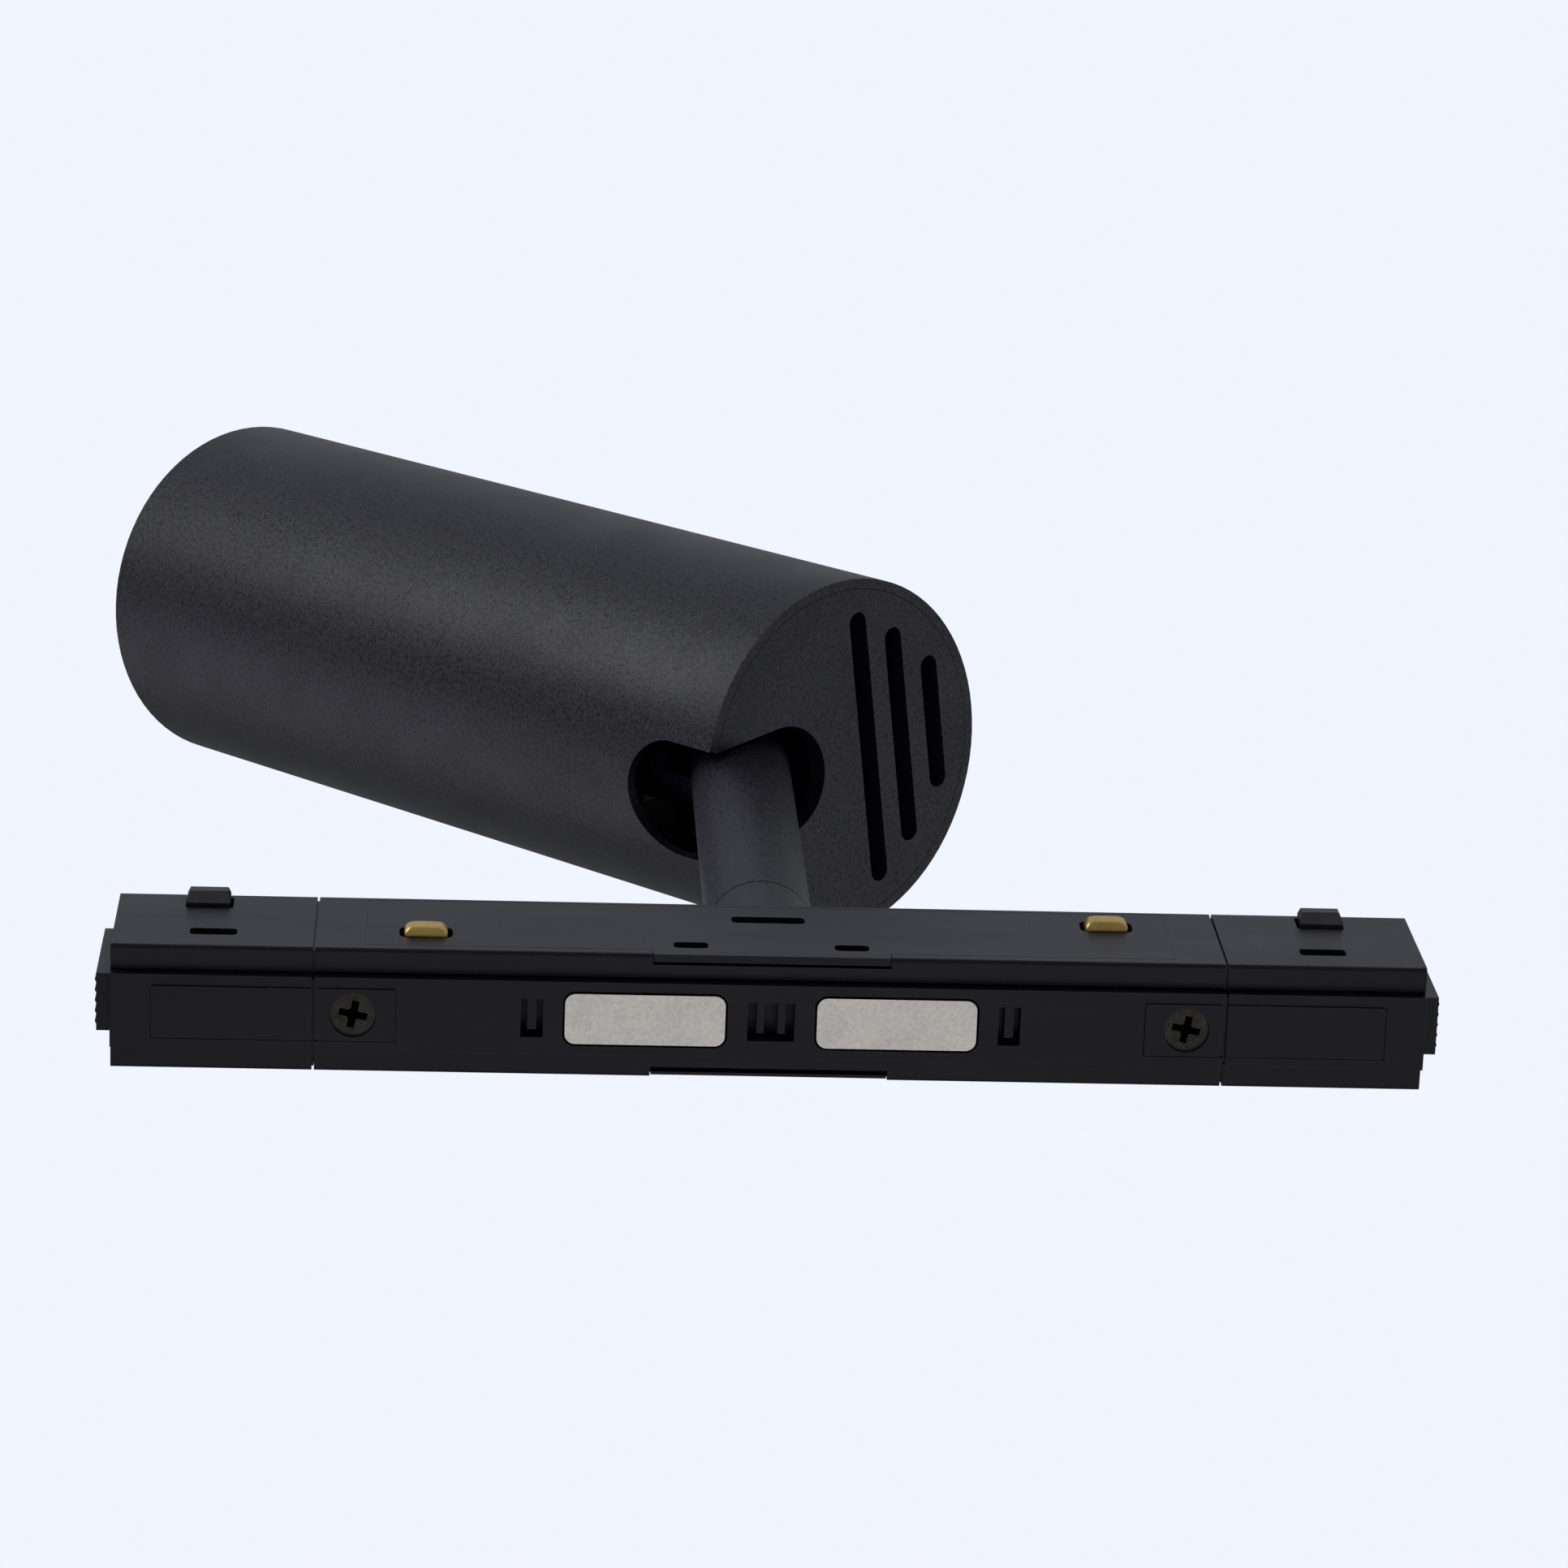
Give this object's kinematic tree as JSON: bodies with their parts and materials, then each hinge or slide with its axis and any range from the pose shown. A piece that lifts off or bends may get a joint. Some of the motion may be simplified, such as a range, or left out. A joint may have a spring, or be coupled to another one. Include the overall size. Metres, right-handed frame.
{
  "type": "track spotlight",
  "caption": "Black cylindrical spotlight on a pan and tilt stem under a magnetic track adapter with sprung contacts and thumb latches.",
  "frame": {"origin": "middle of the magnet face, the flat raised face of the adapter that lies against the track", "axes": "+Z out of the magnet face, up when installed; +X along the adapter; +Y towards the side with the brass contacts; the head hangs towards -Z"},
  "size_m": [0.1754, 0.057, 0.2247],
  "materials": {
    "adapter_plastic": "fine satin moulded polycarbonate, black",
    "powder_coat": "fine-grain satin black powder coat on aluminium",
    "magnet_nickel": "satin nickel plate on neodymium",
    "zinc_steel": "zinc plated steel",
    "dark_screw": "black zinc plated steel",
    "spring_steel": "drawn spring wire",
    "latch_steel": "dark brushed steel",
    "contact_brass": "drawn brass, lightly rubbed",
    "board_green": "solder mask on glass epoxy",
    "component_black": "moulded epoxy",
    "ferrite_grey": "pressed ferrite",
    "sleeve_blue": "shrink sleeve",
    "terminal_green": "moulded nylon",
    "lead_red": "silicone insulated wire",
    "sink_aluminium": "dark anodised aluminium",
    "board_white": "white solder mask on aluminium",
    "phosphor_yellow": "phosphor in clear silicone",
    "holder_white": "moulded white polymer",
    "reflector_metal": "vacuum metallised polycarbonate",
    "gasket_rubber": "silicone rubber",
    "clear_glass": "clear tempered glass",
    "matt_black": "deep matt black, non-reflecting"
  },
  "bodies": {
    "adapter": {"housing": "adapter_plastic", "carrier": "adapter_plastic", "tray": "adapter_plastic", "magnets": "magnet_nickel", "keeper_plates": "zinc_steel", "carrier_screws": "dark_screw", "side_cover_contacts": "adapter_plastic", "side_cover_plain": "adapter_plastic", "contact_guide_left": "adapter_plastic", "contact_guide_right": "adapter_plastic", "contact_spring_left": "spring_steel", "contact_spring_right": "spring_steel", "circuit_board": "board_green", "inductor": "ferrite_grey", "capacitor": "sleeve_blue", "driver_chip": "component_black", "terminal_block": "terminal_green", "adapter_lead": "lead_red", "stem_collar": "powder_coat", "collar_nut": "zinc_steel", "tie_pins": "zinc_steel", "end_housing_left": "adapter_plastic", "end_housing_right": "adapter_plastic", "end_base_left": "adapter_plastic", "end_base_right": "adapter_plastic", "latch_spring_left": "spring_steel", "latch_spring_right": "spring_steel"},
    "contact_left": {"contact_left": "contact_brass"},
    "contact_right": {"contact_right": "contact_brass"},
    "latch_left": {"latch_slider_left": "adapter_plastic", "latch_tooth_left": "latch_steel"},
    "latch_right": {"latch_slider_right": "adapter_plastic", "latch_tooth_right": "latch_steel"},
    "stem": {"stem_tube": "powder_coat", "pan_spindle": "zinc_steel", "pan_lock_nut": "zinc_steel", "pan_washer": "zinc_steel", "stem_knuckle": "powder_coat", "stem_lead": "lead_red"},
    "head": {"arm_knuckle": "powder_coat", "tilt_screw": "dark_screw", "tilt_washer": "zinc_steel", "arm_collar": "powder_coat", "arm_washer": "dark_screw", "rear_arm_nut": "zinc_steel", "front_arm_nut": "zinc_steel", "head_tube": "powder_coat", "rear_cap": "powder_coat", "heat_sink": "sink_aluminium", "head_lead": "lead_red", "led_board": "board_white", "led_emitter": "phosphor_yellow", "led_holder": "holder_white", "holder_screws": "zinc_steel", "reflector": "reflector_metal", "glass_gasket": "gasket_rubber", "front_glass": "clear_glass", "baffle": "matt_black", "front_ring": "powder_coat"}
  },
  "joints": [
    {"name": "pan", "type": "hinge", "parent": "adapter", "child": "stem", "pos_m": [0, 0, -0.034], "axis": [0, 0, 1], "range_deg": [-178.85, 171.15]},
    {"name": "tilt", "type": "hinge", "parent": "stem", "child": "head", "pos_m": [0, 0, -0.1046], "axis": [-0.0671, 0.9977, 0], "range_deg": [-40.4, 49.6]},
    {"name": "latch_left", "type": "slide", "parent": "adapter", "child": "latch_left", "axis": [0, -1, 0], "range_m": [0, 0.002], "stiffness_N_per_m": 500, "springref_m": -0.002, "deforming": ["latch_spring_left"]},
    {"name": "latch_right", "type": "slide", "parent": "adapter", "child": "latch_right", "axis": [0, -1, 0], "range_m": [0, 0.002], "stiffness_N_per_m": 500, "springref_m": -0.002, "deforming": ["latch_spring_right"]},
    {"name": "contact_left", "type": "slide", "parent": "adapter", "child": "contact_left", "axis": [0, -1, 0], "range_m": [0, 0.001], "stiffness_N_per_m": 300, "springref_m": -0.001, "deforming": ["contact_spring_left"]},
    {"name": "contact_right", "type": "slide", "parent": "adapter", "child": "contact_right", "axis": [0, -1, 0], "range_m": [0, 0.001], "stiffness_N_per_m": 300, "springref_m": -0.001, "deforming": ["contact_spring_right"]}
  ]
}
